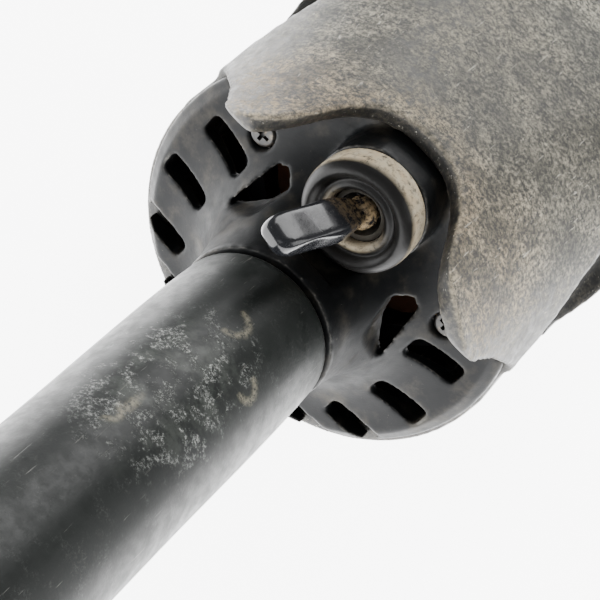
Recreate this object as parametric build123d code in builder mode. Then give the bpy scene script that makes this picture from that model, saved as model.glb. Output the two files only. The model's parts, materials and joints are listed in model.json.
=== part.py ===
"""Electric hand vacuum pump: a tubular grip, a vented end bell with a toggle switch,
two flared half shells round a universal motor with a two-stage suction fan, and an inlet nose.

Millimetres, +Z up. The body axis runs along +Y, from the grip towards the inlet spigot.
Stations are distances along that axis from the plane of the bell's rim, positive towards
the inlet. Heights in a sketch are measured from the body axis.
"""
import math
import os

from build123d import *

os.makedirs("parts", exist_ok=True)

# ---- driving dimensions -------------------------------------------------------------------
AXIS_HEIGHT = 46.0  # body axis above the flat belly
PARTING_HEIGHT = -2.0  # plane between the two shells, from the axis
TOP_WALL = 3.6
HOOD_WALL = 4.2
INNER_CORNER = 38.0  # the hollow is nearly round
SIDE_WALL_LIMIT = 40.4  # the inner skin stays this narrow, so that the side scoops fit
SCOOP_HALF_WIDTH = 43.6  # half width between the scoops at the height of the axis
SCOOP_LEAN = 9.5  # the scoop's floor leans in towards the top by this angle
SHELL_FRONT = 134.0
# station, half width, top, bottom and corner radius of the outer skin
OUTER_SECTIONS = (
    (-30, 41.4, 41.4, -41.4, 38.9),
    (0, 43.0, 43.0, -43.0, 39.5),
    (40, 48.6, 46.0, -46.4, 35.0),
    (84, 53.0, 48.6, -48.0, 29.0),
    (112, 53.0, 48.6, -48.0, 28.0),
    (SHELL_FRONT, 49.0, 45.0, -45.0, 28.0),
)
SIDE_SLOT_HEIGHTS = (1.4, -7.6, -16.6)
SIDE_SLOT_START, SIDE_SLOT_END = 17.0, 51.0
NOTCH_OFFSET = -2.8  # the hood's opening sits a little to one side
SHELL_SCREW_X = 40.6
SHELL_SCREW_STATIONS = (57.5, 92.0)
SHELL_SCREW_SEAT = -14.0
NOSE_SCREW_RADIUS = 45.0
SCREW_ANGLES = (45, 135, 225, 315)

RIM_RADIUS = 42.6
BELL_SPIGOT_RADIUS = 38.7  # the part of the bell that sits inside the shells
BELL_SPIGOT_END = 12.0
NECK_END = -30.0
NECK_RADIUS = 17.0
# centre and turn of the cooling slots on one side, across and above the axis
BELL_SLOTS = ((30.3, 5.6), (31.7, -9.4), (28.7, -23.8), (23.2, -33.6))
BELL_SLOT_SIZE = (12.0, 5.2)
BELL_VENT = ((22.0, -0.8), (19.9, 14.2), (17.8, 15.9), (14.4, 15.0), (15.8, 9.6))
BELL_SCREWS = ((26.4, 14.1), (-26.4, 14.1), (0.0, -28.0))
BELL_SCREW_SEAT = -2.4

TOGGLE_X = -1.2
TOGGLE_HEIGHT = 27.2
TOGGLE_SEAT = -12.0  # station of the top of the round boss the boot stands on
BOOT_RADIUS = 12.0
BOOT_DEPTH = 7.8
BUSHING_RADIUS = 6.0
LEVER_PIVOT = -15.8
LEVER_TILT = 17.0  # the lever leans this far to one side when it is off
LEVER_LENGTH = 26.5

TUBE_RADIUS = 13.0
TUBE_BORE = 10.5
GRIP_RADIUS = 16.7
GRIP_SWELL = 0.3
GRIP_START = -30.6
GRIP_END = -160.0
CAP_END = -172.0
GLAND_END = -184.0
CORD_HOLE_RADIUS = 4.2

STATOR_START, STATOR_END = 40.0, 78.0
STATOR_RADIUS = 36.0
ARMATURE_RADIUS = 20.4
AIR_GAP = 0.6
SHAFT_RADIUS = 4.0
SHAFT_START, SHAFT_END = 3.4, 131.0
RUNNING_GAP = 0.04  # radial clearance of a running fit
BEARING_RADIUS = 11.0
BEARING_WIDTH = 7.0
REAR_BEARING = 3.0
FRONT_BEARING = 97.0
COMMUTATOR_START, COMMUTATOR_END = 20.0, 32.0
COMMUTATOR_RADIUS = 12.0
BRUSH_STATION = 26.0
COOLING_FAN_START = 86.0
BRACKET_START, BRACKET_END = 98.0, 101.0
CAN_RADIUS = 39.5
CAN_WALL = 1.2
CAN_END = 130.0
IMPELLER_RADIUS = 36.0
IMPELLER_DEPTH = 7.0
IMPELLER_STATIONS = (119.0, 104.8)  # first stage, then second stage
DIFFUSER_START, DIFFUSER_END = 113.2, 117.4

SPIGOT_RADIUS = 16.0  # takes a 32 mm suction hose
SPIGOT_BORE = 13.2
SPIGOT_START = 160.0
SPIGOT_END = 192.0
SCREEN_STATION = 142.0

MID_STATION = (SPIGOT_END + GLAND_END) / 2
BODY_AXIS = Axis((0, 0, AXIS_HEIGHT), (0, 1, 0))
FAR = 120.0


def side_plane(offset=0.0):
    """An upright plane along the body: local x is the station, local y the height."""
    return Plane(origin=(offset, -MID_STATION, AXIS_HEIGHT), x_dir=(0, 1, 0), z_dir=(1, 0, 0))


def cross_plane(station):
    """A plane across the axis, seen from the grip: local x is the object's X, local y is up."""
    return Plane(
        origin=(0, station - MID_STATION, AXIS_HEIGHT), x_dir=(1, 0, 0), z_dir=(0, -1, 0)
    )


def top_plane(height):
    """A level plane: local x is the object's X and local y the station."""
    return Plane(origin=(0, -MID_STATION, AXIS_HEIGHT + height), x_dir=(1, 0, 0), z_dir=(0, 0, 1))


def save(piece, name):
    """Label a finished piece and write its STEP file."""
    piece.label = name
    export_step(piece, f"parts/{name}.step")


def ring(start, end, inner, outer):
    """A plain ring or disc about the body axis, between two stations."""
    with BuildPart() as made:
        with BuildSketch(cross_plane(start)):
            Circle(outer)
            if inner > 0:
                Circle(inner, mode=Mode.SUBTRACT)
        extrude(amount=start - end)
    return made.part


def turned(points, axis=BODY_AXIS):
    """A solid of revolution from a closed outline of (station, height) points."""
    with BuildPart() as made:
        with BuildSketch(side_plane()):
            with BuildLine():
                Polyline(*points, close=True)
            make_face()
        revolve(axis=axis)
    return made.part


def skin(sections):
    """A smooth skin through rounded sections, each (station, half width, top, bottom, radius)."""
    with BuildPart() as made:
        for station, half_width, top, bottom, radius in sections:
            with BuildSketch(cross_plane(station)):
                with Locations((0, (top + bottom) / 2)):
                    RectangleRounded(2 * half_width, top - bottom, radius)
        loft()
    return made.part


def inner_sections():
    """The outer sections moved in by the wall, and no wider than the scoops allow."""
    for station, half_width, top, bottom, radius in OUTER_SECTIONS:
        wall = HOOD_WALL if station <= 0 else TOP_WALL
        inner_half = min(half_width - wall, SIDE_WALL_LIMIT)
        inner_radius = min(INNER_CORNER, inner_half - 2.4)
        yield station, inner_half, top - wall, bottom + wall, inner_radius


# ---- half shells --------------------------------------------------------------------------
outer_skin = skin(OUTER_SECTIONS)
inner_skin = skin(tuple(inner_sections()))

with BuildPart() as notch_cut:
    # the U-shaped opening of the hood over the toggle switch, seen from above
    with BuildSketch(top_plane(10)):
        with BuildLine():
            half_notch = [(8.3, -5.6), (13.7, -10.5), (18.6, -20.0), (21.4, -23.8), (27, -25.6)]
            left = [(NOTCH_OFFSET - x, station) for x, station in reversed(half_notch)]
            right = [(NOTCH_OFFSET + x, station) for x, station in half_notch]
            Spline(*left, (NOTCH_OFFSET, -4.0), *right)
            Polyline(right[-1], (40, -26.4), (40, -45), (-45, -45), (-45, -26.4), left[0])
        make_face()
    extrude(amount=FAR)

with BuildPart() as below_ears_cut:
    # everything behind the rim that lies below the ears of the hood, in side view
    with BuildSketch(side_plane(-FAR)):
        with BuildLine():
            Polyline(
                (-40, 33), (-26, 33), (-25, 28), (-21, 25), (-10, 21), (3, 13.2), (3, -60), (-40, -60),
                (-40, 33),
            )
        make_face()
    extrude(amount=2 * FAR)


with BuildPart() as scoop_cut:
    # the flat-bottomed scoop in each flank, wider towards the outside
    for depth, grow in ((0, 0), (16, 5)):
        with BuildSketch(side_plane(SCOOP_HALF_WIDTH).rotated((0, -SCOOP_LEAN, 0)).offset(depth)):
            with BuildLine():
                Spline(
                    (2 - grow, 9 + grow), (12, 18.5 + grow), (28, 31 + grow), (60, 37 + grow),
                    (88, 35 + grow), tangents=[(1, 0.8), (1, -0.1)],
                )
                ThreePointArc((88, 35 + grow), (108 + grow, 3), (88, -30 - grow))
                Spline(
                    (88, -30 - grow), (40, -29 - grow), (2 - grow, -20 - grow),
                    tangents=[(-1, 0), (-1, 0.2)],
                )
                Line((2 - grow, -20 - grow), (2 - grow, 9 + grow))
            make_face()
    loft(ruled=True)
    mirror(about=Plane.YZ)

with BuildPart() as slot_cut:
    # three long exhaust slots in each scoop
    with BuildSketch(side_plane(-FAR)):
        for height in SIDE_SLOT_HEIGHTS:
            with Locations(((SIDE_SLOT_START + SIDE_SLOT_END) / 2, height)):
                SlotOverall(SIDE_SLOT_END - SIDE_SLOT_START, 4.6)
    extrude(amount=2 * FAR)

with BuildPart() as shell_posts:
    # round posts for the screws that pull the shells together, and for the nose screws
    for station in SHELL_SCREW_STATIONS:
        for side in (-1, 1):
            with BuildSketch(top_plane(-FAR)):
                with Locations((side * SHELL_SCREW_X, station)):
                    Circle(4.6)
            extrude(amount=FAR + 12)
    with BuildSketch(cross_plane(118)):
        with PolarLocations(NOSE_SCREW_RADIUS, 4, start_angle=45):
            Circle(4.0)
    extrude(amount=118 - SHELL_FRONT)

with BuildPart() as screw_holes:
    for station in SHELL_SCREW_STATIONS:
        for side in (-1, 1):
            with BuildSketch(top_plane(-FAR)):
                with Locations((side * SHELL_SCREW_X, station)):
                    Circle(3.4)
            extrude(amount=FAR + SHELL_SCREW_SEAT)
            with BuildSketch(top_plane(-FAR)):
                with Locations((side * SHELL_SCREW_X, station)):
                    Circle(1.6)
            extrude(amount=FAR + 4.5)
    with BuildSketch(cross_plane(122)):
        with PolarLocations(NOSE_SCREW_RADIUS, 4, start_angle=45):
            Circle(1.6)
    extrude(amount=-20)

with BuildPart() as shell_tube:
    add(outer_skin)
    add(inner_skin, mode=Mode.SUBTRACT)
    add(notch_cut.part, mode=Mode.SUBTRACT)
    add(below_ears_cut.part, mode=Mode.SUBTRACT)

with BuildPart() as shell_inside:
    # ribs that carry the stator and the fan can, and the screw posts, trimmed to the skin
    add(ring(59, 62, STATOR_RADIUS, FAR))
    add(ring(73, 76, STATOR_RADIUS, FAR))
    add(ring(105, 108, CAN_RADIUS, FAR))
    add(ring(124, 127, CAN_RADIUS, FAR))
    add(shell_posts.part)
    add(outer_skin, mode=Mode.INTERSECT)

with BuildPart() as shells:
    add(shell_tube.part)
    add(shell_inside.part)
    add(scoop_cut.part, mode=Mode.SUBTRACT)
    add(slot_cut.part, mode=Mode.SUBTRACT)
    add(screw_holes.part, mode=Mode.SUBTRACT)
    # the flat belly
    with BuildSketch(top_plane(-AXIS_HEIGHT)):
        Rectangle(400, 600)
    extrude(amount=-20, mode=Mode.SUBTRACT)

with BuildPart() as upper_shell:
    add(shells.part)
    split(bisect_by=top_plane(PARTING_HEIGHT), keep=Keep.TOP)
save(upper_shell.part, "upper_shell")

with BuildPart() as lower_shell:
    add(shells.part)
    split(bisect_by=top_plane(PARTING_HEIGHT), keep=Keep.BOTTOM)
save(lower_shell.part, "lower_shell")


def screw(plane, length, head_radius=2.9, head_height=2.2, shank_radius=1.6):
    """A pan-head screw with a cross recess; the plane is its seat and faces out of the head."""
    with BuildPart() as made:
        with BuildSketch(plane):
            Circle(head_radius)
        extrude(amount=head_height)
        fillet(made.edges().group_by(lambda e: plane.to_local_coords(e.center()).Z)[-1], 0.7)
        with BuildSketch(plane.offset(head_height - 1.2)):
            Rectangle(3.2, 0.8)
            Rectangle(0.8, 3.2)
        extrude(amount=2, mode=Mode.SUBTRACT)
        with BuildSketch(plane):
            Circle(shank_radius)
        extrude(amount=-length)
    return made.part


with BuildPart() as shell_screws:
    for station in SHELL_SCREW_STATIONS:
        for side in (-1, 1):
            seat = Plane(
                origin=(side * SHELL_SCREW_X, station - MID_STATION, AXIS_HEIGHT + SHELL_SCREW_SEAT),
                z_dir=(0, 0, -1),
            )
            add(screw(seat, 18))
save(shell_screws.part, "shell_screws")

# ---- rear bell ----------------------------------------------------------------------------
with BuildPart() as hood_pocket:
    # room for the hood, which laps over the upper part of the rim
    add(ring(-12, 3.05, BELL_SPIGOT_RADIUS, 60))
    add(below_ears_cut.part, mode=Mode.SUBTRACT)

with BuildPart() as toggle_boss:
    # the boss the boot stands on, clear of the hood's inner side
    with BuildSketch(cross_plane(0.8)):
        with Locations((TOGGLE_X, TOGGLE_HEIGHT)):
            Circle(BOOT_RADIUS + 0.3)
    extrude(amount=0.8 - TOGGLE_SEAT)
    add(ring(-7, 2, 38.4, 60), mode=Mode.SUBTRACT)

with BuildPart() as rear_bell:
    with BuildSketch(side_plane()):
        with BuildLine():
            Line((NECK_END, TUBE_RADIUS), (NECK_END, NECK_RADIUS))
            Spline(
                (NECK_END, NECK_RADIUS), (-22, 17.9), (-15, 19.6), (-9, 23), (-5, 28), (-3, 34),
                (-2.3, 39.8), tangents=[(1, 0), (0.1, 1)],
            )
            Polyline(
                (-2.3, 39.8), (0.2, RIM_RADIUS), (3, RIM_RADIUS), (3, BELL_SPIGOT_RADIUS),
                (BELL_SPIGOT_END, BELL_SPIGOT_RADIUS), (BELL_SPIGOT_END, 35.8), (0.8, 35.8),
                (0.6, 33), (-2.6, 27), (-6.5, 22), (-9.5, 19), (-9.5, 14), (10, 14),
                (10, BEARING_RADIUS), (3, BEARING_RADIUS), (3, 6), (-11.2, 6),
                (-11.2, TUBE_RADIUS), (NECK_END, TUBE_RADIUS),
            )
        make_face()
    revolve(axis=BODY_AXIS)
    # round boss, flat seat and hole for the toggle switch
    add(toggle_boss.part)
    with BuildSketch(cross_plane(TOGGLE_SEAT)):
        with Locations((TOGGLE_X, TOGGLE_HEIGHT)):
            Circle(BOOT_RADIUS + 0.3)
    extrude(amount=13, mode=Mode.SUBTRACT)
    with BuildSketch(cross_plane(4)):
        with Locations((TOGGLE_X, TOGGLE_HEIGHT)):
            Circle(BUSHING_RADIUS)
    extrude(amount=20, mode=Mode.SUBTRACT)
    with BuildSketch(cross_plane(4)):
        with Locations((TOGGLE_X, 25.7)):
            Rectangle(18, 17)
    extrude(amount=13, mode=Mode.SUBTRACT)
    # vents and slots, on both sides
    for side in (-1, 1):
        with BuildSketch(cross_plane(4)):
            for x, height in BELL_SLOTS:
                with Locations((side * x, height)):
                    RectangleRounded(*BELL_SLOT_SIZE, 1.3)
            with BuildLine():
                Polyline(*[(side * x, height) for x, height in BELL_VENT], close=True)
            make_face()
        extrude(amount=28, mode=Mode.SUBTRACT)
    # counterbored screw holes
    with BuildSketch(cross_plane(BELL_SCREW_SEAT)):
        with Locations(*BELL_SCREWS):
            Circle(3.1)
    extrude(amount=12, mode=Mode.SUBTRACT)
    with BuildSketch(cross_plane(4)):
        with Locations(*BELL_SCREWS):
            Circle(1.6)
    extrude(amount=20, mode=Mode.SUBTRACT)
    add(hood_pocket.part, mode=Mode.SUBTRACT)
save(rear_bell.part, "rear_bell")

with BuildPart() as bell_screws:
    for x, height in BELL_SCREWS:
        seat = cross_plane(BELL_SCREW_SEAT)
        add(screw(seat.shift_origin(seat.from_local_coords((x, height))), 8, head_height=1.6))
save(bell_screws.part, "bell_screws")

# ---- toggle switch ------------------------------------------------------------------------
TOGGLE_AXIS = Axis((TOGGLE_X, 0, AXIS_HEIGHT + TOGGLE_HEIGHT), (0, 1, 0))
BOOT_FRONT = TOGGLE_SEAT - BOOT_DEPTH

SWITCH_FACE = -8.8  # station of the front of the switch case, in the boss

with BuildPart() as switch_body:
    with BuildSketch(cross_plane(SWITCH_FACE)):
        with Locations((TOGGLE_X, 25.7)):
            Rectangle(17.6, 16.6)
    extrude(amount=-22)
    fillet(switch_body.edges().filter_by(Axis.Y), 1.0)
save(switch_body.part, "switch_body")

with BuildPart() as switch_terminals:
    with BuildSketch(cross_plane(SWITCH_FACE + 22)):
        with Locations(*[(TOGGLE_X + x, height) for x in (-5, 5) for height in (30, 21.5)]):
            Rectangle(0.8, 4.8)
    extrude(amount=-6.5)
save(switch_terminals.part, "switch_terminals")

with BuildPart() as switch_bushing:
    with BuildSketch(cross_plane(SWITCH_FACE)):
        with Locations((TOGGLE_X, TOGGLE_HEIGHT)):
            Circle(BUSHING_RADIUS)
            Circle(4.5, mode=Mode.SUBTRACT)
    extrude(amount=SWITCH_FACE - BOOT_FRONT - 3.2)
    chamfer(switch_bushing.faces().sort_by(Axis.Y)[0].outer_wire().edges(), 0.5)
save(switch_bushing.part, "switch_bushing")

with BuildPart() as switch_nut:
    with BuildSketch(cross_plane(TOGGLE_SEAT)):
        with Locations((TOGGLE_X, TOGGLE_HEIGHT)):
            RegularPolygon(8.4, 6)
            Circle(BUSHING_RADIUS, mode=Mode.SUBTRACT)
    extrude(amount=2.0)
save(switch_nut.part, "switch_nut")

with BuildPart() as switch_boot:
    # a rubber collar with a rounded outer rim and an inner lip round the lever
    boot_plane = side_plane(TOGGLE_X)
    with BuildSketch(boot_plane):
        with BuildLine():
            low = TOGGLE_HEIGHT
            Polyline(
                (TOGGLE_SEAT, low + 8.6), (TOGGLE_SEAT, low + BOOT_RADIUS - 0.2),
                (TOGGLE_SEAT - 3.4, low + BOOT_RADIUS),
            )
            Spline(
                (TOGGLE_SEAT - 3.4, low + BOOT_RADIUS), (BOOT_FRONT + 0.9, low + 11.2),
                (BOOT_FRONT, low + 9.7), (BOOT_FRONT + 0.9, low + 8.6),
                (BOOT_FRONT + 2.2, low + 8.1), tangents=[(-1, 0), (1, -0.2)],
            )
            Spline(
                (BOOT_FRONT + 2.2, low + 8.1), (BOOT_FRONT + 1.5, low + 7.4),
                (BOOT_FRONT + 1.1, low + 6.6), (BOOT_FRONT + 1.8, low + 5.7),
                tangents=[(-1, -0.4), (1, -0.6)],
            )
            Polyline(
                (BOOT_FRONT + 1.8, low + 5.7), (BOOT_FRONT + 3.2, low + 5.7),
                (BOOT_FRONT + 3.2, low + 6.2), (TOGGLE_SEAT - 2.2, low + 6.2),
                (TOGGLE_SEAT - 2.2, low + 8.6), (TOGGLE_SEAT, low + 8.6),
            )
        make_face()
    revolve(axis=TOGGLE_AXIS)
save(switch_boot.part, "switch_boot")

# the lever: a ball in the bushing, a short neck and a flat paddle, leaning to one side
tilt = math.radians(LEVER_TILT)
lever_out = Vector(-math.sin(tilt), -math.cos(tilt), 0)
lever_pivot = Vector(TOGGLE_X, LEVER_PIVOT - MID_STATION, AXIS_HEIGHT + TOGGLE_HEIGHT)
lever_plane = Plane(origin=lever_pivot, x_dir=(math.cos(tilt), -math.sin(tilt), 0), z_dir=lever_out)
PADDLE_SECTIONS = (
    (2.0, 5.0, 4.4, 1.2),
    (6.0, 7.2, 5.2, 1.2),
    (14.0, 7.8, 5.4, 1.3),
    (LEVER_LENGTH - 3.4, 7.6, 5.0, 1.5),
    (LEVER_LENGTH - 0.9, 6.2, 3.6, 1.6),
    (LEVER_LENGTH, 3.8, 1.8, 0.8),
)
with BuildPart() as paddle:
    for reach, wide, thick, corner in PADDLE_SECTIONS:
        with BuildSketch(lever_plane.offset(reach)):
            RectangleRounded(wide, thick, corner)
    loft()
with BuildPart() as switch_lever:
    add(paddle.part)
    with BuildSketch(lever_plane.offset(-4.0)):
        Circle(2.0)
    extrude(amount=8)
    with Locations(Location(lever_pivot)):
        Sphere(3.4)
save(switch_lever.part, "switch_lever")

# ---- grip ---------------------------------------------------------------------------------
with BuildPart() as handle_tube:
    add(ring(GRIP_END, -11.2, TUBE_BORE, TUBE_RADIUS))
save(handle_tube.part, "handle_tube")

with BuildPart() as grip_sleeve:
    with BuildSketch(side_plane()):
        with BuildLine():
            Polyline(
                (GRIP_START - 0.2, TUBE_RADIUS), (GRIP_START - 0.2, GRIP_RADIUS - 1.4),
            )
            ThreePointArc(
                (GRIP_START - 0.2, GRIP_RADIUS - 1.4), (GRIP_START - 0.6, GRIP_RADIUS - 0.4),
                (GRIP_START - 1.6, GRIP_RADIUS),
            )
            Spline(
                (GRIP_START - 1.6, GRIP_RADIUS), (-80, GRIP_RADIUS + GRIP_SWELL),
                (-125, GRIP_RADIUS + 0.6), (GRIP_END, GRIP_RADIUS + 0.9),
                tangents=[(-1, 0.05), (-1, 0)],
            )
            Polyline(
                (GRIP_END, GRIP_RADIUS + 0.9), (GRIP_END, TUBE_RADIUS),
                (GRIP_START - 0.2, TUBE_RADIUS),
            )
        make_face()
    revolve(axis=BODY_AXIS)
save(grip_sleeve.part, "grip_sleeve")

with BuildPart() as grip_end_cap:
    with BuildSketch(side_plane()):
        with BuildLine():
            Polyline(
                (GRIP_END, 7.0), (GRIP_END, 18.4), (GRIP_END - 4, 18.4),
            )
            ThreePointArc((GRIP_END - 4, 18.4), (-169.4, 16.2), (CAP_END, 11.0))
            Polyline((CAP_END, 11.0), (CAP_END, 7.0), (GRIP_END, 7.0))
        make_face()
    revolve(axis=BODY_AXIS)
save(grip_end_cap.part, "grip_end_cap")

with BuildPart() as cord_gland:
    add(ring(-178, GRIP_END, CORD_HOLE_RADIUS, 7.0))
    with BuildSketch(cross_plane(CAP_END)):
        RegularPolygon(9.4, 6)
        Circle(7.0, mode=Mode.SUBTRACT)
    extrude(amount=2.6)
save(cord_gland.part, "cord_gland")

with BuildPart() as gland_nut:
    add(turned([
        (-175.2, 7.0), (-175.2, 9.0), (-181, 9.0), (GLAND_END, 6.4), (GLAND_END, CORD_HOLE_RADIUS),
        (-178, CORD_HOLE_RADIUS), (-178, 7.0),
    ]))
    with BuildSketch(cross_plane(-175)):
        with PolarLocations(9.4, 12):
            Circle(1.1)
    extrude(amount=7, mode=Mode.SUBTRACT)
save(gland_nut.part, "gland_nut")

# ---- motor --------------------------------------------------------------------------------
with BuildPart() as motor_shaft:
    add(ring(SHAFT_START, SHAFT_END, 0, SHAFT_RADIUS))
    chamfer(motor_shaft.edges().filter_by(GeomType.CIRCLE), 0.5)
save(motor_shaft.part, "motor_shaft")


def ball_bearing(start):
    """A sealed ball bearing: two races, a shield and a stepped face."""
    end = start + BEARING_WIDTH
    hole = SHAFT_RADIUS + RUNNING_GAP
    return turned([
        (start, hole), (start, 6.0), (start + 0.5, 6.0), (start + 0.5, 9.2), (start, 9.2),
        (start, BEARING_RADIUS), (end, BEARING_RADIUS), (end, 9.2), (end - 0.5, 9.2),
        (end - 0.5, 6.0), (end, 6.0), (end, hole),
    ])


save(ball_bearing(REAR_BEARING), "rear_bearing")
save(ball_bearing(FRONT_BEARING), "front_bearing")

STATOR_BORE = ARMATURE_RADIUS + AIR_GAP
COIL_SPAN = (5.0, 36.0)  # angles of a coil side above and below the horizontal


def sector(inner, outer, first, last):
    """A flat ring sector between two angles, as points."""
    steps = 12
    angles = [math.radians(first + (last - first) * i / steps) for i in range(steps + 1)]
    rim = [(outer * math.cos(a), outer * math.sin(a)) for a in angles]
    bore = [(inner * math.cos(a), inner * math.sin(a)) for a in reversed(angles)]
    return rim + bore


with BuildPart() as stator_core:
    with BuildSketch(cross_plane(STATOR_START)):
        Circle(STATOR_RADIUS)
        Circle(STATOR_BORE, mode=Mode.SUBTRACT)
        for middle in (0, 180):
            with BuildLine():
                Polyline(*sector(STATOR_BORE - 1, 30.4, middle - 37.5, middle + 37.5), close=True)
            make_face(mode=Mode.SUBTRACT)
        with PolarLocations(STATOR_RADIUS - 2.6, 2, start_angle=90):
            Circle(1.6, mode=Mode.SUBTRACT)
    extrude(amount=STATOR_START - STATOR_END)
save(stator_core.part, "stator_core")

with BuildPart() as field_coils:
    # one coil round each pole: two straight sides in the slots and an arc at each end
    for above in (1, -1):
        first, last = COIL_SPAN
        for low, high in ((first, last), (180 - last, 180 - first)):
            with BuildSketch(cross_plane(STATOR_START - 1)):
                with BuildLine():
                    Polyline(*sector(22.0, 30.2, above * low, above * high), close=True)
                make_face()
            extrude(amount=STATOR_START - STATOR_END - 2)
        for station, depth in ((STATOR_START, 5.4), (STATOR_END + 5.4, 5.4)):
            with BuildSketch(cross_plane(station)):
                with BuildLine():
                    Polyline(*sector(22.4, 29.8, above * first, above * 175), close=True)
                make_face()
            extrude(amount=depth)
save(field_coils.part, "field_coils")

with BuildPart() as armature_core:
    with BuildSketch(cross_plane(STATOR_START)):
        Circle(ARMATURE_RADIUS)
        Circle(SHAFT_RADIUS, mode=Mode.SUBTRACT)
        with PolarLocations(ARMATURE_RADIUS - 4.4, 12):
            SlotOverall(7.4, 3.8, mode=Mode.SUBTRACT)
        with PolarLocations(ARMATURE_RADIUS - 0.5, 12):
            Rectangle(3.0, 1.4, mode=Mode.SUBTRACT)
    extrude(amount=STATOR_START - STATOR_END)
save(armature_core.part, "armature_core")

with BuildPart() as armature_windings:
    for start, end, out in ((33.6, STATOR_START, 1), (STATOR_END, 84.4, -1)):
        add(turned([
            (start, 4.0), (start, 15.0), (start + 1.6, 18.4), (end - 1.4, 18.8), (end, 17.4),
            (end, 4.0),
        ]))
    with BuildSketch(cross_plane(STATOR_START)):
        with PolarLocations(ARMATURE_RADIUS - 4.4, 12):
            SlotOverall(7.4, 3.8)
    extrude(amount=STATOR_START - STATOR_END)
save(armature_windings.part, "armature_windings")

with BuildPart() as commutator:
    add(ring(COMMUTATOR_START, COMMUTATOR_END, SHAFT_RADIUS, COMMUTATOR_RADIUS))
    add(ring(COMMUTATOR_END, 33.6, SHAFT_RADIUS, 13.6))
    with BuildSketch(cross_plane(COMMUTATOR_START)):
        with PolarLocations(COMMUTATOR_RADIUS, 24):
            Rectangle(1.2, 0.5)
    extrude(amount=COMMUTATOR_START - COMMUTATOR_END, mode=Mode.SUBTRACT)
save(commutator.part, "commutator")

BRUSH_SIZE = (6.0, 9.0, 14.0)  # along the shaft, upwards, towards the shaft
BRUSH_TIP = COMMUTATOR_RADIUS + 0.35

with BuildPart() as carbon_brushes:
    for side in (-1, 1):
        with BuildSketch(side_plane(side * BRUSH_TIP)):
            with Locations((BRUSH_STATION, 0)):
                Rectangle(BRUSH_SIZE[0], BRUSH_SIZE[1])
        extrude(amount=side * BRUSH_SIZE[2])
save(carbon_brushes.part, "carbon_brushes")

with BuildPart() as brush_holders:
    for side in (-1, 1):
        with BuildSketch(side_plane(side * 15.0)):
            with Locations((BRUSH_STATION, 0)):
                Rectangle(BRUSH_SIZE[0] + 2.4, BRUSH_SIZE[1] + 2.4)
                Rectangle(BRUSH_SIZE[0], BRUSH_SIZE[1], mode=Mode.SUBTRACT)
        extrude(amount=side * 17.0)
        with BuildSketch(side_plane(side * 32.0)):
            with Locations((BRUSH_STATION, 0)):
                Rectangle(BRUSH_SIZE[0] + 4, BRUSH_SIZE[1] + 4)
        extrude(amount=side * 1.6)
save(brush_holders.part, "brush_holders")

with BuildPart() as brush_springs:
    for side in (-1, 1):
        start = BRUSH_TIP + BRUSH_SIZE[2] + 0.45
        coil_height = 32.0 - start - 0.45
        with BuildLine() as coil_line:
            Helix(
                pitch=coil_height / 4, height=coil_height, radius=2.2,
                center=(side * start, BRUSH_STATION - MID_STATION, AXIS_HEIGHT),
                direction=(side, 0, 0),
            )
        with BuildSketch(Plane(origin=coil_line.line @ 0, z_dir=coil_line.line % 0)):
            Circle(0.32)
        sweep(path=coil_line.line)
save(brush_springs.part, "brush_springs")

with BuildPart() as brush_yoke:
    # the moulded ring that carries the brush holders on the end of the stator
    add(ring(BRUSH_STATION + BRUSH_SIZE[0] / 2 + 2, 33.4, 31.2, STATOR_RADIUS))
    with BuildSketch(cross_plane(33.4)):
        with PolarLocations(33.4, 4, start_angle=45):
            Rectangle(3.6, 7.0)
    extrude(amount=33.4 - STATOR_START)
save(brush_yoke.part, "brush_yoke")

# ---- cooling fan and bracket --------------------------------------------------------------
with BuildPart() as cooling_fan:
    add(ring(COOLING_FAN_START, COOLING_FAN_START + 1.4, SHAFT_RADIUS, 33.0))
    add(ring(COOLING_FAN_START, COOLING_FAN_START + 7.6, SHAFT_RADIUS, 7.4))
    with BuildSketch(cross_plane(COOLING_FAN_START + 1.4)):
        with PolarLocations(21.5, 10):
            Rectangle(22.0, 1.2, rotation=16)
    extrude(amount=-6.0)
save(cooling_fan.part, "cooling_fan")

with BuildPart() as motor_bracket:
    add(ring(BRACKET_START, BRACKET_END, 0, CAN_RADIUS))
    add(ring(95.6, 104, 0, 14.2))
    # windows for the air that leaves the fan, and the bearing seat
    with BuildSketch(cross_plane(BRACKET_START - 1)):
        for middle in range(30, 390, 60):
            with BuildLine():
                Polyline(*sector(18.5, 33.5, middle - 21, middle + 21), close=True)
            make_face()
    extrude(amount=-5, mode=Mode.SUBTRACT)
    with BuildSketch(cross_plane(95)):
        Circle(6.0)
    extrude(amount=-10, mode=Mode.SUBTRACT)
    with BuildSketch(cross_plane(FRONT_BEARING)):
        Circle(BEARING_RADIUS)
    extrude(amount=-10, mode=Mode.SUBTRACT)
save(motor_bracket.part, "motor_bracket")

# ---- two-stage suction fan ----------------------------------------------------------------
BLADE_COUNT = 7
EYE_RADIUS = 13.6

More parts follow.
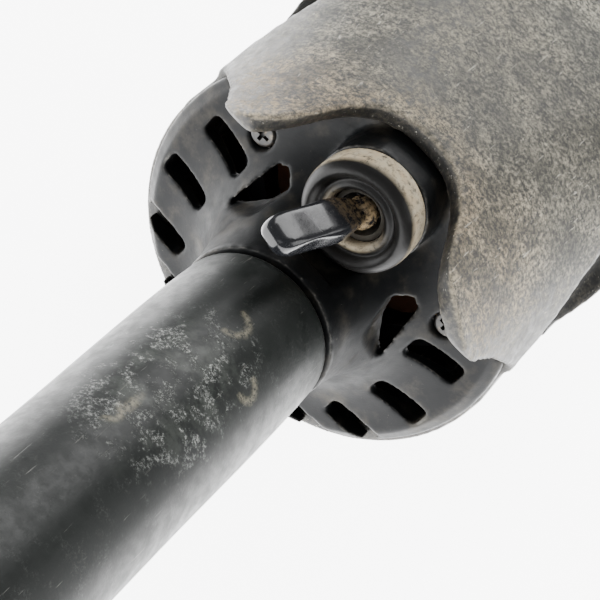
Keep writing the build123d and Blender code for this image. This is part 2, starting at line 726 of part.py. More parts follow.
for stage, station in enumerate(IMPELLER_STATIONS, start=1):
    with BuildPart() as impeller:
        add(ring(station, station + 1.0, SHAFT_RADIUS, IMPELLER_RADIUS))
        add(ring(station, station + IMPELLER_DEPTH, SHAFT_RADIUS, 6.5))
        add(ring(station + IMPELLER_DEPTH - 1.0, station + IMPELLER_DEPTH, EYE_RADIUS, IMPELLER_RADIUS))
        # backward-curved blades between the two discs
        with BuildSketch(cross_plane(station + 1.0)):
            for turn in range(BLADE_COUNT):
                with BuildLine():
                    blade = [
                        (radius, turn * 360 / BLADE_COUNT - sweep_angle)
                        for radius, sweep_angle in ((12.5, 0), (20, 22), (28, 36), (35.6, 46))
                    ]
                    front = [
                        (r * math.cos(math.radians(a)), r * math.sin(math.radians(a)))
                        for r, a in blade
                    ]
                    back = [
                        (r * math.cos(math.radians(a + 60 / r)), r * math.sin(math.radians(a + 60 / r)))
                        for r, a in reversed(blade)
                    ]
                    Polyline(*front, *back, close=True)
                make_face()
        extrude(amount=2.0 - IMPELLER_DEPTH)
    save(impeller.part, f"impeller_stage_{stage}")

with BuildPart() as impeller_spacer:
    add(ring(IMPELLER_STATIONS[1] + IMPELLER_DEPTH, IMPELLER_STATIONS[0], SHAFT_RADIUS, 6.2))
save(impeller_spacer.part, "impeller_spacer")

with BuildPart() as impeller_nut:
    with BuildSketch(cross_plane(IMPELLER_STATIONS[0] + IMPELLER_DEPTH)):
        RegularPolygon(6.6, 6)
        Circle(SHAFT_RADIUS, mode=Mode.SUBTRACT)
    extrude(amount=-4.0)
save(impeller_nut.part, "impeller_nut")

with BuildPart() as diffuser:
    # a disc with return vanes on the side of the second stage
    add(ring(DIFFUSER_END - 1.2, DIFFUSER_END, 8.0, CAN_RADIUS - CAN_WALL - 1.6))
    with BuildSketch(cross_plane(DIFFUSER_START)):
        for turn in range(9):
            with BuildLine():
                vane = [
                    (radius, turn * 40 + turn_angle)
                    for radius, turn_angle in ((11, 0), (20, 16), (29, 28), (38.2, 36))
                ]
                front = [
                    (r * math.cos(math.radians(a)), r * math.sin(math.radians(a))) for r, a in vane
                ]
                back = [
                    (r * math.cos(math.radians(a + 70 / r)), r * math.sin(math.radians(a + 70 / r)))
                    for r, a in reversed(vane)
                ]
                Polyline(*front, *back, close=True)
            make_face()
    extrude(amount=DIFFUSER_START - DIFFUSER_END + 1.2)
save(diffuser.part, "diffuser")

with BuildPart() as fan_can:
    add(ring(BRACKET_END, CAN_END, CAN_RADIUS - CAN_WALL, CAN_RADIUS))
    add(ring(CAN_END - CAN_WALL, CAN_END, EYE_RADIUS, CAN_RADIUS))
save(fan_can.part, "fan_can")

with BuildPart() as can_gasket:
    add(ring(CAN_END, 132, 31.0, 38.6))
save(can_gasket.part, "can_gasket")

# ---- inlet nose ---------------------------------------------------------------------------
NOSE_SECTIONS = (
    (SHELL_FRONT, 49.0, 45.0, 28.0),
    (140, 46.4, 42.6, 28.0),
    (150, 34.0, 33.0, 28.0),
    (SPIGOT_START, 21.0, 21.0, 20.4),
)

with BuildPart() as inlet_nose:
    for station, half_width, half_height, corner in NOSE_SECTIONS:
        with BuildSketch(cross_plane(station)):
            RectangleRounded(2 * half_width, 2 * half_height, corner)
    loft()
    add(ring(132, SHELL_FRONT, 31.0, 38.6))
    add(ring(SPIGOT_START, SPIGOT_END, 0, SPIGOT_RADIUS))
    # the funnel from the can's eye to the spigot
    add(
        turned([
            (130, 0), (130, 34.6), (SCREEN_STATION, 34.6), (SCREEN_STATION, 27), (147, 25.4),
            (157, SPIGOT_BORE), (200, SPIGOT_BORE), (200, 0),
        ]),
        mode=Mode.SUBTRACT,
    )
    chamfer(inlet_nose.faces().sort_by(Axis.Y)[-1].outer_wire().edges(), 0.8)
    with BuildSketch(cross_plane(138)):
        with PolarLocations(NOSE_SCREW_RADIUS, 4, start_angle=45):
            Circle(3.5)
    extrude(amount=-12, mode=Mode.SUBTRACT)
    with BuildSketch(cross_plane(130)):
        with PolarLocations(NOSE_SCREW_RADIUS, 4, start_angle=45):
            Circle(1.6)
    extrude(amount=-12, mode=Mode.SUBTRACT)
save(inlet_nose.part, "inlet_nose")

with BuildPart() as nose_screws:
    nose_seat = cross_plane(138).rotated((180, 0, 0))
    for angle in SCREW_ANGLES:
        spot = (
            NOSE_SCREW_RADIUS * math.cos(math.radians(angle)),
            NOSE_SCREW_RADIUS * math.sin(math.radians(angle)),
        )
        add(screw(nose_seat.shift_origin(nose_seat.from_local_coords(spot)), 14))
save(nose_screws.part, "nose_screws")

with BuildPart() as filter_screen:
    # a perforated disc in a rim, held against the step in the nose
    add(ring(SCREEN_STATION - 1.0, SCREEN_STATION, 0, 34.4))
    add(ring(SCREEN_STATION - 3.4, SCREEN_STATION, 32.4, 34.4))
    with BuildSketch(cross_plane(SCREEN_STATION - 2)):
        for radius, count in ((6, 6), (12, 12), (18, 18), (24, 24)):
            with PolarLocations(radius, count):
                Circle(1.9)
    extrude(amount=-3, mode=Mode.SUBTRACT)
save(filter_screen.part, "filter_screen")
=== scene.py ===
"""Looks for the hand vacuum pump: studio, camera, refined surfaces and procedural materials.

Stations are millimetres along the body axis from the plane of the bell's rim, positive towards
the inlet; heights are millimetres above the body axis.
"""

import json
import math

import bmesh
import bpy
import numpy as np
from mathutils import Matrix, Vector


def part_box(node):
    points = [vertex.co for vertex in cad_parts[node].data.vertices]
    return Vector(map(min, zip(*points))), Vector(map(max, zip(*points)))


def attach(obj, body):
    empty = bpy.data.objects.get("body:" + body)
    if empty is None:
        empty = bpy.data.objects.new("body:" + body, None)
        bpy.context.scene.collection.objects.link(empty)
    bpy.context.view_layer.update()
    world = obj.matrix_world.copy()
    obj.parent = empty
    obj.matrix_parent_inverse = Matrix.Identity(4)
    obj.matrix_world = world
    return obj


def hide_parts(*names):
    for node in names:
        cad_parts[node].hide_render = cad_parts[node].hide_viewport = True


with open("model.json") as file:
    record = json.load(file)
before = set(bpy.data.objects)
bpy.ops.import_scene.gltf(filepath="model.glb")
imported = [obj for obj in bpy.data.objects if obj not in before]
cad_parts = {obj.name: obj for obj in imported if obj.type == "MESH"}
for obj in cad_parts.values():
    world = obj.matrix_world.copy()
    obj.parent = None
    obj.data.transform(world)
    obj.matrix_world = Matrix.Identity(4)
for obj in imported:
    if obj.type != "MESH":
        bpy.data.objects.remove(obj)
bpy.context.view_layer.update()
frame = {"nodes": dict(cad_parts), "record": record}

MM = 0.001
NECK_LENGTH = 30  # the bell's neck reaches this far behind its rim
RIM_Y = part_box("rear_bell")[0].y + NECK_LENGTH * MM  # world Y of station 0
AXIS_Z = sum(corner.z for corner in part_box("motor_shaft")) / 2  # world Z of height 0


def at(x, station, height):
    """A point of the row frame from millimetres across, along and above the body axis."""
    return Vector((x * MM, RIM_Y + station * MM, AXIS_Z + height * MM))


# ---- camera and studio --------------------------------------------------------------------
CAMERA_AIM = (2.70, -32.5, 15.17)  # across, station, height
CAMERA_ANGLES = (0.54, 40.0, 45.67)  # azimuth, elevation and roll, degrees
CAMERA_DISTANCE = 0.3486
CAMERA_LENS = 111.6
CAMERA_SENSOR = 36.0
CAMERA_CLIP = 0.01


def make_camera():
    """The camera looks down on the switch from behind the grip, turned about its own axis."""
    aim = at(*CAMERA_AIM)
    azimuth, elevation, roll = (math.radians(angle) for angle in CAMERA_ANGLES)
    back = Vector((
        math.sin(azimuth) * math.cos(elevation),
        -math.cos(azimuth) * math.cos(elevation),
        math.sin(elevation),
    ))
    level_right = (-back).cross(Vector((0, 0, 1))).normalized()
    level_up = level_right.cross(-back)
    right = level_right * math.cos(roll) + level_up * math.sin(roll)
    up = level_up * math.cos(roll) - level_right * math.sin(roll)
    data = bpy.data.cameras.new("camera")
    data.lens = CAMERA_LENS
    data.sensor_width = CAMERA_SENSOR
    data.clip_start = CAMERA_CLIP
    camera = bpy.data.objects.new("camera", data)
    camera.matrix_world = Matrix((
        (right.x, up.x, back.x, 0), (right.y, up.y, back.y, 0), (right.z, up.z, back.z, 0),
        (0, 0, 0, 1),
    ))
    camera.location = aim + back * CAMERA_DISTANCE
    bpy.context.scene.collection.objects.link(camera)
    bpy.context.scene.camera = camera


def make_area_light(name, location, target, size, power):
    """A square soft light that faces a point."""
    data = bpy.data.lights.new(name, "AREA")
    data.shape = "SQUARE"
    data.size = size
    data.energy = power
    light = bpy.data.objects.new(name, data)
    light.location = location
    light.rotation_euler = (Vector(target) - Vector(location)).to_track_quat("-Z", "Y").to_euler()
    bpy.context.scene.collection.objects.link(light)
    return light


FLOOR_HALF = 6.0
FLOOR_GLOW = 7.5  # the floor is a lit white sweep
SURROUND_STRENGTH = 0.34
LIT_POINT = (0, 20, 0)  # the lights face this point of the body
LIGHTS = (  # name, place, size, power
    ("key_light", (-0.35, 0.60, 0.90), 0.8, 14.0),
    ("fill_light", (0.75, 0.25, 0.65), 0.7, 6.0),
    ("back_light", (-0.10, -0.90, 0.75), 0.6, 1.6),
)


def make_studio():
    """A plain lit white floor, a dim even surround and three large soft lights."""
    mesh = bpy.data.meshes.new("floor")
    corners = [(-1, -1), (1, -1), (1, 1), (-1, 1)]
    mesh.from_pydata([(x * FLOOR_HALF, y * FLOOR_HALF, 0) for x, y in corners], [], [(0, 1, 2, 3)])
    floor = bpy.data.objects.new("floor", mesh)
    bpy.context.scene.collection.objects.link(floor)
    material = bpy.data.materials.new("floor_paper")
    material.use_nodes = True
    shader = material.node_tree.nodes["Principled BSDF"]
    shader.inputs["Base Color"].default_value = (0.93, 0.93, 0.93, 1)
    shader.inputs["Roughness"].default_value = 0.9
    shader.inputs["Emission Color"].default_value = (1, 1, 1, 1)
    shader.inputs["Emission Strength"].default_value = FLOOR_GLOW
    mesh.materials.append(material)
    world = bpy.data.worlds.new("surround")
    bpy.context.scene.world = world
    world.use_nodes = True
    background = world.node_tree.nodes["Background"]
    background.inputs["Color"].default_value = (1, 1, 1, 1)
    background.inputs["Strength"].default_value = SURROUND_STRENGTH
    centre = at(*LIT_POINT)
    for name, place, size, power in LIGHTS:
        make_area_light(name, place, centre, size, power)


make_camera()
make_studio()


# ---- node helpers -------------------------------------------------------------------------
class Look:
    """One material, built with short calls. Sockets are passed around as values."""

    def __init__(self, name):
        """Makes an empty material that reads object coordinates."""
        self.material = bpy.data.materials.new(name)
        self.material.use_nodes = True
        self.tree = self.material.node_tree
        self.shader = self.tree.nodes["Principled BSDF"]
        self.place = self.tree.nodes.new("ShaderNodeTexCoord").outputs["Object"]

    def feed(self, socket, value):
        """Links a socket, or sets a constant on it."""
        if isinstance(value, bpy.types.NodeSocket):
            self.tree.links.new(value, socket)
        elif socket.type == "RGBA" and len(value) == 3:
            socket.default_value = (*value, 1)
        else:
            socket.default_value = value

    def math(self, kind, a, b=0.0, clamp=False):
        """One sum of two values, or of sockets."""
        node = self.tree.nodes.new("ShaderNodeMath")
        node.operation = kind
        node.use_clamp = clamp
        self.feed(node.inputs[0], a)
        self.feed(node.inputs[1], b)
        return node.outputs[0]

    def scaled_place(self, scale, turn=(0, 0, 0)):
        """Object coordinates turned and then scaled, so that one unit is 1/scale metres."""
        node = self.tree.nodes.new("ShaderNodeMapping")
        node.vector_type = "POINT"
        self.feed(node.inputs["Vector"], self.place)
        node.inputs["Rotation"].default_value = [math.radians(a) for a in turn]
        node.inputs["Scale"].default_value = scale
        return node.outputs[0]

    def noise(
        self, size_mm, detail=4.0, rough=0.55, distortion=0.0, stretch=(1, 1, 1), turn=(0, 0, 0)
    ):
        """Noise whose blotches are about size_mm across."""
        node = self.tree.nodes.new("ShaderNodeTexNoise")
        scale = 1000.0 / size_mm
        self.feed(node.inputs["Vector"], self.scaled_place([scale * s for s in stretch], turn))
        node.inputs["Scale"].default_value = 1.0
        node.inputs["Detail"].default_value = detail
        node.inputs["Roughness"].default_value = rough
        node.inputs["Distortion"].default_value = distortion
        return node.outputs["Fac"]

    def ramp(self, value, low, high, to=(0.0, 1.0)):
        """A smooth step between two input values."""
        node = self.tree.nodes.new("ShaderNodeMapRange")
        node.interpolation_type = "SMOOTHSTEP"
        self.feed(node.inputs["Value"], value)
        for name, number in zip(("From Min", "From Max", "To Min", "To Max"), (low, high, *to)):
            node.inputs[name].default_value = number
        return node.outputs[0]

    def mix(self, amount, a, b):
        """A colour mix."""
        node = self.tree.nodes.new("ShaderNodeMix")
        node.data_type = "RGBA"
        self.feed(node.inputs["Factor"], amount)
        self.feed(node.inputs["A"], a)
        self.feed(node.inputs["B"], b)
        return node.outputs["Result"]

    def mask(self, name):
        """A painted mask stored on the mesh."""
        node = self.tree.nodes.new("ShaderNodeAttribute")
        node.attribute_name = name
        return node.outputs["Fac"]

    def times(self, *values):
        """The product of all the values."""
        result = values[0]
        for value in values[1:]:
            result = self.math("MULTIPLY", result, value)
        return result

    def plus(self, *values):
        """The sum of all the values."""
        result = values[0]
        for value in values[1:]:
            result = self.math("ADD", result, value)
        return result

    def clamp(self, value):
        """The value held between 0 and 1."""
        return self.math("ADD", value, 0.0, clamp=True)

    def bump(self, height, depth_mm, strength=1.0, after=None):
        """A normal roughened by a height, on top of another normal where one is given."""
        node = self.tree.nodes.new("ShaderNodeBump")
        self.feed(node.inputs["Height"], height)
        node.inputs["Distance"].default_value = depth_mm * MM
        node.inputs["Strength"].default_value = strength
        if after is not None:
            self.feed(node.inputs["Normal"], after)
        return node.outputs["Normal"]

    def scratches(self, size_mm, turn, fine=0.62, stretch=26):
        """Thin, nearly straight marks along one direction."""
        streak = self.noise(size_mm, 3.0, 0.6, 0.35, (1, 1 / stretch, 1), turn)
        return self.ramp(streak, fine, fine + 0.05)

    def finish(self, color, roughness, normal=None, specular=0.5, **constants):
        """Feeds the shader. The specular level is a constant on its own socket."""
        self.shader.inputs["Specular IOR Level"].default_value = specular
        self.feed(self.shader.inputs["Base Color"], color)
        self.feed(self.shader.inputs["Roughness"], roughness)
        if normal is not None:
            self.feed(self.shader.inputs["Normal"], normal)
        for name, value in constants.items():
            self.shader.inputs[name.replace("_", " ").title()].default_value = value
        return self.material


# ---- refined surfaces ---------------------------------------------------------------------
WELD_REACH = 1e-6  # split vertices this close are one
EDGE_DEPTH = 0.22  # how far a full edge drops below its surroundings, per mm of edge width


def welded_copy(node):
    """A new object with the CAD node's mesh, its split vertices merged."""
    mesh = frame["nodes"][node].data.copy()
    mesh.materials.clear()
    work = bmesh.new()
    work.from_mesh(mesh)
    bmesh.ops.remove_doubles(work, verts=work.verts, dist=WELD_REACH)
    work.to_mesh(mesh)
    work.free()
    piece = bpy.data.objects.new(node + "_skin", mesh)
    bpy.context.scene.collection.objects.link(piece)
    return piece


def applied(piece):
    """Replaces the piece's mesh by what its modifiers make of it."""
    graph = bpy.context.evaluated_depsgraph_get()
    mesh = bpy.data.meshes.new_from_object(piece.evaluated_get(graph))
    piece.modifiers.clear()
    piece.data = mesh
    return piece


def positions(mesh):
    """Vertex places in metres."""
    co = np.empty(len(mesh.vertices) * 3, np.float32)
    mesh.vertices.foreach_get("co", co)
    return co.reshape(-1, 3).astype(float)


def facing(mesh):
    """Vertex normals."""
    normals = np.empty(len(mesh.vertices) * 3, np.float32)
    mesh.vertices.foreach_get("normal", normals)
    return normals.reshape(-1, 3)


def edge_pairs(mesh):
    """The two vertices of each edge."""
    pairs = np.empty(len(mesh.edges) * 2, np.int32)
    mesh.edges.foreach_get("vertices", pairs)
    return pairs.reshape(-1, 2)


def averaged(values, pairs, rounds, weight=0.5):
    """Values moved towards the mean of their neighbours, a number of times."""
    count = np.bincount(pairs.ravel(), minlength=len(values)).astype(float)
    shape = (-1,) + (1,) * (values.ndim - 1)
    for _ in range(rounds):
        total = np.zeros_like(values)
        np.add.at(total, pairs[:, 0], values[pairs[:, 1]])
        np.add.at(total, pairs[:, 1], values[pairs[:, 0]])
        values = values + weight * (total / np.maximum(count, 1).reshape(shape) - values)
    return values


def paint(mesh, name, values):
    """Stores a mask on the mesh's points."""
    layer = mesh.attributes.new(name, "FLOAT", "POINT")
    layer.data.foreach_set("value", np.clip(values, 0, 1).astype(np.float32))


def moulded(node, voxel_mm, rounds, edge_mm):
    """A CAD node as one even, softly rounded skin that rides and stands for its node.

    Its "edge" mask is 1 on outer edges.
    """
    piece = welded_copy(node)
    modifier = piece.modifiers.new("even", "REMESH")
    modifier.mode = "VOXEL"
    modifier.voxel_size = voxel_mm * MM
    applied(piece)
    mesh = piece.data
    pairs = edge_pairs(mesh)
    co = averaged(positions(mesh), pairs, rounds)
    mesh.vertices.foreach_set("co", co.astype(np.float32).ravel())
    mesh.polygons.foreach_set("use_smooth", np.ones(len(mesh.polygons), bool))
    mesh.update()
    spread = max(2, int((edge_mm / voxel_mm) ** 2))
    drop = ((co - averaged(co, pairs, spread)) * facing(mesh)).sum(1) / MM
    paint(mesh, "edge", drop / (EDGE_DEPTH * edge_mm))
    body = next(b for b, ns in frame["record"]["behaviour"]["bodies"].items() if node in ns)
    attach(piece, body)
    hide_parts(node)
    return piece


# ---- materials ----------------------------------------------------------------------------
DUST_CREAM = (0.56, 0.53, 0.42)
DUST_TAN = (0.46, 0.33, 0.18)
# pale wear colour; on the bell's crisp edges it is also a painted highlight
PALE_WEAR_AND_HIGHLIGHT = (0.30, 0.29, 0.26)


def bell_look():
    """Near-black moulding with a thin brown film; its crisp edges are painted paler, partly real
    edge wear and partly painted highlight.
    """
    look = Look("bell_moulding")
    color = look.mix(look.noise(14, 5), (0.0035, 0.004, 0.0045), (0.0075, 0.008, 0.0085))
    film = look.times(look.ramp(look.noise(7, 7, 0.65), 0.48, 0.72), 0.16)
    color = look.mix(film, color, (0.13, 0.11, 0.08))
    speck = look.ramp(look.noise(0.7, 7, 0.8), 0.66, 0.72)
    color = look.mix(look.times(speck, 0.35), color, DUST_CREAM)
    # crisp edges painted paler: a painted highlight along the edges, partly real edge wear
    edge = look.ramp(look.mask("edge"), 0.30, 0.85)
    wear_and_edge_highlight = look.times(edge, look.ramp(look.noise(2.2, 6), 0.35, 0.62, (0.15, 1.0)))
    color = look.mix(look.times(wear_and_edge_highlight, 0.42), color, PALE_WEAR_AND_HIGHLIGHT)
    rough = look.ramp(look.noise(4, 7, 0.7), 0.3, 0.7, (0.30, 0.50))
    normal = look.bump(look.noise(0.35, 3), 0.05, 0.5)
    normal = look.bump(look.noise(3, 5, 0.6), 0.10, 0.35, normal)
    return look.finish(color, rough, normal, specular=0.10)


def shell_look():
    """Dark moulding under patchy speckled dust, crossed by fine pale scratches."""
    look = Look("shell_moulding")
    dust = look.mask("dust")
    clean = look.mix(look.noise(8, 5), (0.006, 0.0065, 0.007), (0.013, 0.013, 0.013))
    greyed = look.mix(look.noise(18, 6, 0.6), (0.022, 0.023, 0.022), (0.060, 0.059, 0.053))
    color = look.mix(look.ramp(dust, 0.10, 0.45), clean, greyed)
    patch = look.ramp(look.noise(11, 9, 0.75), 0.40, 0.62, (0.28, 1.0))
    fine = look.ramp(look.noise(0.9, 9, 0.82), 0.44, 0.62)
    film = look.times(look.ramp(look.noise(1.8, 9, 0.78), 0.38, 0.66), 0.50)
    cover = look.clamp(look.times(dust, patch, look.plus(look.times(fine, 1.0), film)))
    tint = look.mix(look.clamp(look.mask("tan")), DUST_CREAM, DUST_TAN)
    color = look.mix(look.times(cover, 0.85), color, tint)
    fleck = look.ramp(look.noise(0.5, 7, 0.85), 0.68, 0.73)
    color = look.mix(look.times(fleck, 0.55), color, DUST_CREAM)
    marks = look.scratches(0.6, (0, 0, 38), 0.655, 40)
    crossed = look.scratches(0.7, (0, 0, -57), 0.675, 34)
    both = look.math("MAXIMUM", marks, crossed)
    lit = look.times(both, look.ramp(look.noise(13, 4), 0.40, 0.60), 0.65)
    color = look.mix(lit, color, (0.60, 0.57, 0.48))
    edge = look.ramp(look.mask("edge"), 0.22, 0.85)
    crust = look.times(edge, look.ramp(look.noise(1.3, 8, 0.75), 0.40, 0.62))
    color = look.mix(look.times(crust, look.ramp(dust, 0.05, 0.5, (0.12, 0.6))), color, tint)
    base_rough = look.ramp(look.noise(2.2, 7, 0.7), 0.3, 0.7, (0.34, 0.54))
    rough = look.clamp(look.plus(base_rough, look.times(cover, 0.28)))
    normal = look.bump(look.noise(0.5, 4, 0.6), 0.06, 0.6)
    normal = look.bump(both, -0.05, 0.5, normal)
    normal = look.bump(cover, 0.07, 0.5, normal)
    return look.finish(color, rough, normal, specular=0.32)


def grip_look():
    """Green-charcoal over-moulding with a pale haze, white salt specks and scuffs."""
    look = Look("grip_moulding")
    color = look.mix(look.noise(22, 5), (0.006, 0.0075, 0.007), (0.013, 0.0155, 0.014))
    haze = look.times(look.mask("haze"), look.ramp(look.noise(6, 8, 0.7), 0.44, 0.68))
    color = look.mix(look.times(haze, 0.20), color, (0.24, 0.26, 0.23))
    salt = look.ramp(look.noise(0.7, 9, 0.88), 0.50, 0.58)
    salted = look.times(salt, look.mask("haze"), look.ramp(look.noise(4.2, 8, 0.7), 0.49, 0.60))
    color = look.mix(look.times(salted, 0.80), color, (0.62, 0.64, 0.60))
    scuff = look.times(look.mask("scuff"), look.ramp(look.noise(0.8, 6, 0.7), 0.34, 0.58))
    color = look.mix(look.times(scuff, 0.75), color, (0.34, 0.31, 0.22))
    fleck = look.ramp(look.noise(0.6, 7, 0.85), 0.69, 0.74)
    color = look.mix(look.times(fleck, 0.45), color, (0.40, 0.40, 0.36))
    marks = look.scratches(0.6, (0, 0, 30), 0.68, 22)
    color = look.mix(look.times(marks, 0.25), color, PALE_WEAR_AND_HIGHLIGHT)
    edge = look.ramp(look.mask("edge"), 0.25, 0.85)
    wear_and_edge_highlight = look.times(edge, look.ramp(look.noise(1.5, 6), 0.4, 0.62), 0.4)
    color = look.mix(wear_and_edge_highlight, color, PALE_WEAR_AND_HIGHLIGHT)
    rough = look.ramp(look.noise(3.5, 7, 0.7), 0.3, 0.7, (0.32, 0.50))
    normal = look.bump(look.noise(0.45, 4), 0.05, 0.5)
    normal = look.bump(look.plus(salted, look.times(marks, -0.5)), 0.06, 0.6, normal)
    return look.finish(color, rough, normal, specular=0.22)


def boot_look():
    """Black rubber with a tan crust on its outer flank and its inner lips."""
    look = Look("boot_rubber")
    color = look.mix(look.noise(5, 5), (0.004, 0.004, 0.004), (0.010, 0.0095, 0.009))
    crust = look.times(look.mask("dust"), look.ramp(look.noise(1.2, 9, 0.78), 0.32, 0.52))
    tint = look.mix(look.noise(2.5, 5), DUST_TAN, DUST_CREAM)
    color = look.mix(look.times(crust, 0.92), color, tint)
    rough = look.ramp(crust, 0.0, 1.0, (0.38, 0.85))
    normal = look.bump(look.noise(0.6, 6, 0.7), 0.09, 0.6)
    normal = look.bump(crust, 0.16, 0.5, normal)
    return look.finish(color, rough, normal, specular=0.15)


def lever_look():
    """Black moulding polished by fingers, with dust where it leaves the boot."""
    look = Look("lever_moulding")
    color = look.mix(look.noise(6, 4), (0.006, 0.007, 0.009), (0.016, 0.016, 0.018))
    dust = look.times(look.mask("dust"), look.ramp(look.noise(1.3, 8, 0.75), 0.40, 0.60))
    color = look.mix(look.times(dust, 0.8), color, DUST_TAN)
    rub = look.ramp(look.noise(1.1, 7, 0.75), 0.60, 0.70)
    color = look.mix(look.times(rub, 0.25), color, PALE_WEAR_AND_HIGHLIGHT)
    rough = look.ramp(look.noise(2.4, 7, 0.75), 0.3, 0.72, (0.10, 0.26))
    normal = look.bump(look.noise(0.8, 5), 0.03, 0.4)
    return look.finish(color, rough, normal, specular=0.35, coat_weight=0.15)


def plain_look(name, dark, light, rough=(0.35, 0.55), metal=0.0, grain_mm=0.5, speckle=0.0):
    """A simple finish with grain, blotches and some dirt."""
    look = Look(name)
    color = look.mix(look.noise(6, 5), dark, light)
    dirt = look.times(look.ramp(look.noise(2.2, 7, 0.7), 0.5, 0.72), speckle)
    color = look.mix(dirt, color, (0.20, 0.16, 0.11))
    finish = look.ramp(look.noise(1.8, 6), 0.3, 0.7, rough)
    normal = look.bump(look.noise(grain_mm, 4), 0.03, 0.4)
    return look.finish(color, finish, normal, metallic=metal)


def give(piece, material):
    """Makes this the piece's only material."""
    piece.data.materials.clear()
    piece.data.materials.append(material)


# ---- pieces -------------------------------------------------------------------------------
def local_mm(mesh):
    """Vertex places as (across, station, height) in millimetres."""
    co = positions(mesh)
    return (co - np.array([0, RIM_Y, AXIS_Z])) / MM


def near(distance, reach):
    """1 on the spot, fading to 0 at the reach."""
    return np.clip(1 - distance / reach, 0, 1)


def spot(p, x, station, reach):
    """A round patch seen from above."""
    return near(np.hypot(p[:, 0] - x, p[:, 1] - station), reach)


HOOD_CENTRE = -2.8  # the hood's opening sits this far to one side
HOOD_ACROSS = (0, 8.3, 13.7, 18.6, 21.4, 27, 40)
HOOD_STATION = (-4, -5.6, -10.5, -20, -23.8, -25.6, -18)


def make_shells():
    """Dust lies on the upward faces: on the hood's crest, the shoulders and one pale patch."""
    material = shell_look()
    upper = moulded("upper_shell", 0.7, 6, 2.2)
    p = local_mm(upper.data)
    edge_station = np.interp(np.abs(p[:, 0] - HOOD_CENTRE), HOOD_ACROSS, HOOD_STATION)
    crest = near(np.abs(p[:, 1] - edge_station - 4), 10)
    upward = np.clip((facing(upper.data)[:, 2] - 0.25) / 0.5, 0, 1)
    pale = spot(p, 6, 78, 34)
    right_ear = spot(p, 24, -6, 20)
    left_shoulder = spot(p, -30, -10, 18)
    dust = 0.55 + 0.45 * crest + 0.9 * pale + 0.9 * right_ear + 0.6 * left_shoulder
    paint(upper.data, "dust", dust * upward + 0.10)
    tan = 0.15 + 0.35 * crest + 0.8 * left_shoulder + 0.5 * right_ear - 0.5 * pale
    paint(upper.data, "tan", tan)
    lower = moulded("lower_shell", 0.8, 5, 2.2)
    p = local_mm(lower.data)
    paint(lower.data, "dust", 0.08 + 0.16 * near(np.abs(p[:, 2] + 2), 10))
    paint(lower.data, "tan", np.full(len(p), 0.3))
    for piece in (upper, lower):
        give(piece, material)


def make_bell():
    """The vented end bell with its neck."""
    bell = moulded("rear_bell", 0.5, 3, 1.4)
    give(bell, bell_look())


SCUFFS = ((-3, -52, 3.4), (7, -60, 2.6), (-6, -88, 2.2))  # across, station, radius of a crescent


def make_grip():
    """Haze and salt sit on top, half way along; crescent scuffs are scattered round them."""
    grip = moulded("grip_sleeve", 0.6, 3, 1.6)
    p = local_mm(grip.data)
    upward = np.clip(p[:, 2] / 12, 0, 1)
    from_haze = np.hypot(p[:, 0] + 2, (p[:, 1] + 74) / 1.9)
    paint(grip.data, "haze", upward * near(from_haze, 14) * 1.6 + 0.04)
    scuff = np.zeros(len(p))
    for x, station, radius in SCUFFS:
        reach = np.hypot(p[:, 0] - x, p[:, 1] - station)
        scuff += 0.75 * near(np.abs(reach - radius), 0.9) * (p[:, 0] > x)
    scuff += near(np.hypot((p[:, 0] + 4) / 1.2, (p[:, 1] + 84) / 4.5), 1.0)
    paint(grip.data, "scuff", scuff * upward)
    give(grip, grip_look())


boot_low, boot_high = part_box("switch_boot")
BOOT_X = (boot_low.x + boot_high.x) / 2 / MM
BOOT_HEIGHT = ((boot_low.z + boot_high.z) / 2 - AXIS_Z) / MM
BOOT_FRONT = (boot_low.y - RIM_Y) / MM


def make_switch():
    """The boot's front lip stays black. Its flank and its inner lips are crusted."""
    boot = moulded("switch_boot", 0.28, 3, 1.2)
    p = local_mm(boot.data)
    radius = np.hypot(p[:, 0] - BOOT_X, p[:, 2] - BOOT_HEIGHT)
    rise = (p[:, 2] - BOOT_HEIGHT) / 12
    flank = np.clip(radius - 10.2, 0, 1) * np.clip((p[:, 1] - BOOT_FRONT - 1.6) / 1.4, 0, 1)
    lips = near(np.abs(radius - 6.2), 1.4) * np.clip(0.25 - rise, 0, 1)
    paint(boot.data, "dust", flank * np.clip(0.5 + 0.8 * rise, 0, 1) + lips)
    give(boot, boot_look())
    lever = moulded("switch_lever", 0.28, 3, 1.2)
    p = local_mm(lever.data)
    paint(lever.data, "dust", near(np.abs(p[:, 1] + 17), 8) * 0.9)
    give(lever, lever_look())


make_shells()
make_bell()
make_grip()
make_switch()

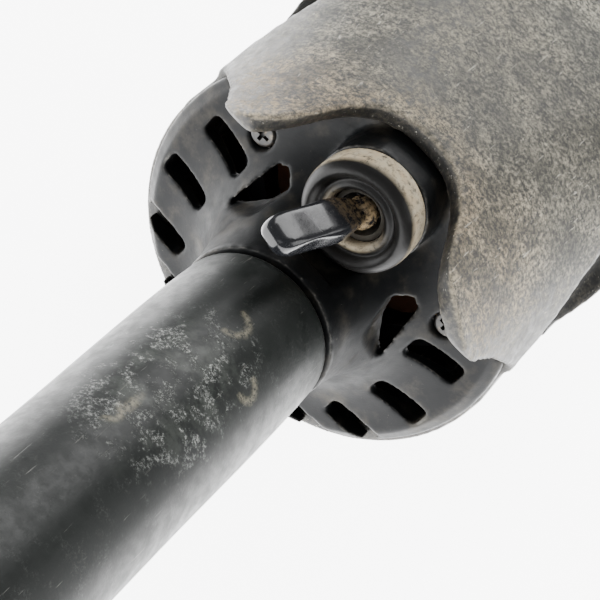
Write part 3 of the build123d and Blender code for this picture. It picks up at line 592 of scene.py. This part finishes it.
FINISHES = {
    "nose": plain_look("nose_moulding", (0.009, 0.010, 0.011), (0.019, 0.020, 0.021), speckle=0.4),
    "bell": plain_look("cap_moulding", (0.009, 0.010, 0.011), (0.019, 0.020, 0.021), speckle=0.4),
    "gland": plain_look("gland_nylon", (0.015, 0.015, 0.016), (0.03, 0.03, 0.03)),
    "gasket": plain_look("gasket_rubber", (0.012, 0.012, 0.012), (0.03, 0.03, 0.03), (0.6, 0.8)),
    "inner_plastic": plain_look("inner_moulding", (0.008, 0.009, 0.011), (0.018, 0.020, 0.024)),
    "handle_core": plain_look("core_moulding", (0.03, 0.03, 0.03), (0.06, 0.06, 0.06)),
    "screw_steel": plain_look(
        "screw_steel", (0.016, 0.016, 0.016), (0.045, 0.044, 0.042), metal=0.6, speckle=0.8),
    "brass_parts": plain_look(
        "brass", (0.10, 0.07, 0.03), (0.22, 0.16, 0.08), metal=0.9, speckle=0.9),
    "shaft_steel": plain_look("shaft_steel", (0.4, 0.4, 0.41), (0.6, 0.6, 0.6), metal=1.0),
    "bearing_steel": plain_look("bearing", (0.5, 0.5, 0.5), (0.7, 0.7, 0.7), (0.12, 0.25), 1.0),
    "lamination": plain_look("lamination", (0.14, 0.14, 0.15), (0.26, 0.26, 0.27), metal=1.0),
    "copper": plain_look("copper", (0.5, 0.25, 0.12), (0.72, 0.38, 0.2), metal=1.0),
    "winding": plain_look("winding", (0.06, 0.022, 0.009), (0.12, 0.045, 0.018), metal=0.5),
    "carbon": plain_look("carbon", (0.012, 0.012, 0.012), (0.03, 0.03, 0.03), (0.6, 0.8)),
    "spring_steel": plain_look("spring", (0.4, 0.4, 0.4), (0.6, 0.6, 0.6), metal=1.0),
    "fan_aluminium": plain_look("fan_alloy", (0.5, 0.5, 0.51), (0.7, 0.7, 0.7), metal=1.0),
    "can_steel": plain_look("can_plating", (0.3, 0.3, 0.3), (0.48, 0.48, 0.48), metal=1.0),
}
# the bushing's open end is choked with dirt
GRIMY_BRASS = plain_look(
    "grimy_brass", (0.008, 0.007, 0.005), (0.03, 0.024, 0.014), (0.6, 0.85), 0.2)
for entry in frame["record"]["subparts"]:
    node = frame["nodes"][entry["node"]]
    if not node.hide_render and entry["material_slot"] in FINISHES:
        for index in range(len(node.material_slots)):
            node.material_slots[index].material = FINISHES[entry["material_slot"]]
for name in ("switch_bushing", "switch_nut"):
    for slot in frame["nodes"][name].material_slots:
        slot.material = GRIMY_BRASS
